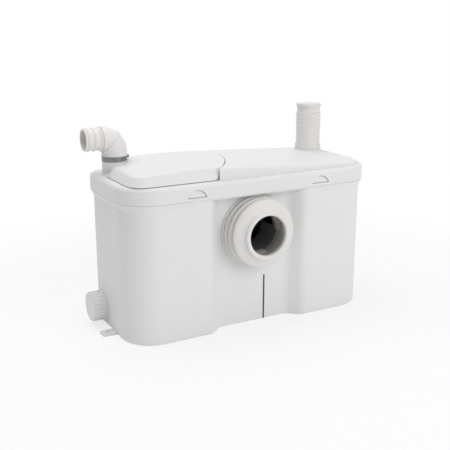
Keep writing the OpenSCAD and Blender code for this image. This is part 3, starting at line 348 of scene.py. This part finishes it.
def cover_block():
    """The cover's arched block with rounded edges, before its seam and bay are cut."""
    centre = (COVER_CORNER[0] + CORNER_R, COVER_CORNER[1] + CORNER_R)
    across = [centre[0] + ACROSS_STEP * i for i in range(ACROSS_POINTS)]
    mesh = bmesh.new()
    loops = []
    for share, inset, back, drop in COVER_EDGE:
        left, front = COVER_CORNER[0] + inset, COVER_CORNER[1] + inset
        rear = COVER_REAR - back
        points = [(left, rear)] + arc(centre, CORNER_R - inset, 180, 270, CORNER_STEPS)
        points += [(x, front) for x in across[1:]] + [(x, rear) for x in reversed(across)]
        loops.append(ring(
            mesh, points, lambda x: COVER_FOOT + share * (crown(x) - drop - COVER_FOOT)))
    for low, high in zip(loops, loops[1:]):
        join(mesh, low, high)
    mesh.faces.new(loops[0])
    top = loops[-1]
    corner = CORNER_STEPS + 1
    mesh.faces.new(top[:corner + 1] + [top[-1]])
    for i in range(len(across) - 1):
        mesh.faces.new((top[corner + i], top[corner + i + 1], top[-i - 2], top[-i - 1]))
    return solid("access_cover_block", mesh)


def cover_knife():
    """A prism over the cover's plan: nose, seam with its finger notch, and the discharge bay."""
    half = math.degrees(NOTCH_R / SEAM_R)
    nose_x, nose_y = NOSE_CENTRE[0] - SEAM_CENTRE[0], NOSE_CENTRE[1] - SEAM_CENTRE[1]
    nose_end = math.degrees(math.atan2(nose_y, nose_x))
    notch = arc(SEAM_CENTRE, SEAM_R, NOTCH_TURN, NOTCH_TURN, 1)[0]
    near, far = [NOTCH_TURN - side for side in NOTCH_SIDES]
    points = [(NOSE_CENTRE[0], -KNIFE_REACH)]
    points += arc(NOSE_CENTRE, NOSE_R, -90, nose_end, NOSE_STEPS)
    points += arc(SEAM_CENTRE, SEAM_R, nose_end, NOTCH_TURN - half, FRONT_STEPS)[1:]
    points += arc(notch, NOTCH_R, near, far, NOTCH_STEPS)[1:-1]
    points += arc(SEAM_CENTRE, SEAM_R, NOTCH_TURN + half, SEAM_END, SEAM_STEPS)
    points += [(BAY[0][0], KNIFE_REACH), *BAY]
    points += [(KNIFE_LEFT, BAY[-1][1]), (KNIFE_LEFT, -KNIFE_REACH)]
    mesh = bmesh.new()
    low = ring(mesh, points, lambda x: COVER_FOOT - KNIFE_OVER)
    high = ring(mesh, points, lambda x: COVER_TOP + KNIFE_OVER)
    join(mesh, low, high)
    mesh.faces.new(low)
    mesh.faces.new(high)
    return solid("access_cover_knife", mesh)


def rib_plan(inset):
    """Points round the locating rib's plan, moved inwards."""
    (x0, y0), (x1, y1) = RIB_LOW, RIB_HIGH
    points = []
    for x, y, turn in ((x0, y0, 180), (x1, y0, 270), (x1, y1, 0), (x0, y1, 90)):
        inner_x = x + math.copysign(RIB_R, x0 + x1 - 2 * x)
        inner_y = y + math.copysign(RIB_R, y0 + y1 - 2 * y)
        points += arc((inner_x, inner_y), RIB_R - inset, turn, turn + 90, RIB_STEPS)
    return points


def add_rib(mesh):
    """The locating rib under the cover, from its foot up into the shell."""
    def foot(_):
        return RIB_FOOT

    def top(x):
        return crown(x) - COVER_WALL / 2

    sides = ((0, foot), (0, top), (RIB_WALL, top), (RIB_WALL, foot))
    join_round(mesh, [ring(mesh, rib_plan(inset), height) for inset, height in sides])


def make_cover():
    """The lift-off cover with its tight front corner and even left edge: a shell with its rib."""
    block, knife = cover_block(), cover_knife()
    cut = block.modifiers.new("plan", "BOOLEAN")
    cut.operation = "INTERSECT"
    cut.solver = "EXACT"
    cut.object = knife
    shape = block.evaluated_get(bpy.context.evaluated_depsgraph_get())
    mesh = bmesh.new()
    mesh.from_mesh(shape.to_mesh())
    for scrap in (block, knife):
        bpy.data.objects.remove(scrap)
    level = (COVER_FOOT + FOOT_SLACK) / MM
    foot = [f for f in mesh.faces if max(v.co.z for v in f.verts) < level]
    bmesh.ops.delete(mesh, geom=foot, context="FACES_ONLY")
    bmesh.ops.dissolve_degenerate(mesh, edges=mesh.edges, dist=LEAST_EDGE / MM)
    skin = mesh.faces[:]
    bmesh.ops.recalc_face_normals(mesh, faces=skin)
    bmesh.ops.solidify(mesh, geom=skin, thickness=COVER_WALL / MM)
    for point in mesh.verts:
        point.co.z = max(point.co.z, COVER_FOOT / MM)
    add_rib(mesh)
    stand_in(solid("access_cover_shell", mesh), "access_cover", "cover", "lid_white")


def make_sleeve():
    """The pan's rubber sleeve, turned from its half section, with a collar round its mouth."""
    mesh = bmesh.new()
    loops = []
    for depth, radius in SLEEVE_SECTION:
        y = (SLEEVE_MOUTH + depth) / MM
        circle = arc((0, SLEEVE_AXIS), radius, 0, 360, SLEEVE_STEPS)[:-1]
        loops.append([mesh.verts.new((x / MM, y, z / MM)) for x, z in circle])
    join_round(mesh, loops)
    stand_in(solid("inlet_sleeve_rubber", mesh), "inlet_sleeve", "housing", "pale_rubber")


def seen_straight(tree):
    """1 on rays from the camera, a glossy surface or glass, and 0 on the rays that light things."""
    rays = tree.nodes.new("ShaderNodeLightPath").outputs
    value = rays["Is Camera Ray"]
    for name in ("Is Glossy Ray", "Is Transmission Ray"):
        larger = tree.nodes.new("ShaderNodeMath")
        larger.operation = "MAXIMUM"
        tree.links.new(value, larger.inputs[0])
        tree.links.new(rays[name], larger.inputs[1])
        value = larger.outputs[0]
    return value


def make_floor():
    """A wide pale floor: white far away, and with the object's soft shadow close by."""
    bpy.ops.mesh.primitive_plane_add(size=FLOOR_SIZE, location=(0, 0, cad_box[0].z))
    floor = bpy.context.object
    floor.name = "studio_floor"
    material, tree, surface = shader("floor_paper", FLOOR_WHITE, FLOOR_ROUGHNESS)
    surface.inputs["Specular IOR Level"].default_value = FLOOR_SHINE
    glow = tree.nodes.new("ShaderNodeEmission")
    glow.inputs["Color"].default_value = STUDIO_WHITE
    place = tree.nodes.new("ShaderNodeTexCoord")
    reach = tree.nodes.new("ShaderNodeVectorMath")
    reach.operation = "LENGTH"
    spread = tree.nodes.new("ShaderNodeMapRange")
    spread.interpolation_type = "SMOOTHSTEP"
    spread.inputs["From Min"].default_value = GLOW_RADII[0]
    spread.inputs["From Max"].default_value = GLOW_RADII[1]
    spread.inputs["To Min"].default_value = GLOW_NEAR
    spread.inputs["To Max"].default_value = GLOW_FAR
    share = tree.nodes.new("ShaderNodeMath")
    share.operation = "MULTIPLY"
    mix = tree.nodes.new("ShaderNodeMixShader")
    links = tree.links
    links.new(place.outputs["Object"], reach.inputs[0])
    links.new(reach.outputs["Value"], spread.inputs["Value"])
    links.new(seen_straight(tree), share.inputs[0])
    links.new(spread.outputs["Result"], share.inputs[1])
    links.new(share.outputs[0], mix.inputs[0])
    links.new(surface.outputs[0], mix.inputs[1])
    links.new(glow.outputs[0], mix.inputs[2])
    links.new(mix.outputs[0], tree.nodes["Material Output"].inputs[0])
    floor.data.materials.append(material)


def make_world():
    """Even studio fill, white where the camera, a glossy surface or glass looks straight at it."""
    world = bpy.data.worlds.new("studio")
    scene.world = world
    world.use_nodes = True
    tree = world.node_tree
    fill = tree.nodes["Background"]
    fill.inputs["Color"].default_value = STUDIO_WHITE
    fill.inputs["Strength"].default_value = FILL
    white = tree.nodes.new("ShaderNodeBackground")
    white.inputs["Color"].default_value = STUDIO_WHITE
    mix = tree.nodes.new("ShaderNodeMixShader")
    tree.links.new(seen_straight(tree), mix.inputs[0])
    tree.links.new(fill.outputs[0], mix.inputs[1])
    tree.links.new(white.outputs[0], mix.inputs[2])
    tree.links.new(mix.outputs[0], tree.nodes["World Output"].inputs[0])


def make_lamp(name, place, target, size, power):
    """A square soft box at a place, facing a target."""
    lamp = bpy.data.lights.new(name, "AREA")
    lamp.shape = "SQUARE"
    lamp.size = size
    lamp.energy = power
    holder = bpy.data.objects.new(name, lamp)
    scene.collection.objects.link(holder)
    holder.location = place
    holder.rotation_euler = (Vector(target) - Vector(place)).to_track_quat("-Z", "Y").to_euler()


def make_camera():
    """The camera at the photograph's place and angle."""
    camera = bpy.data.objects.new("camera", bpy.data.cameras.new("camera"))
    scene.collection.objects.link(camera)
    camera.data.lens = CAMERA_LENS
    camera.data.sensor_width = SENSOR_WIDTH
    camera.data.clip_end = CAMERA_REACH
    turn, drop = math.radians(CAMERA_TURN), math.radians(CAMERA_DROP)
    level = Vector((math.sin(turn), math.cos(turn), 0)) * math.cos(drop)
    ahead = level - Vector((0, 0, math.sin(drop)))
    camera.location = CAMERA_PLACE
    camera.rotation_euler = ahead.to_track_quat("-Z", "Y").to_euler()
    scene.camera = camera


make_camera()
make_world()
make_floor()
for lamp_name, soft_box in SOFT_BOXES.items():
    make_lamp(lamp_name, *soft_box)
dress_nodes()
make_cover()
make_sleeve()

scene.view_settings.view_transform = "Standard"
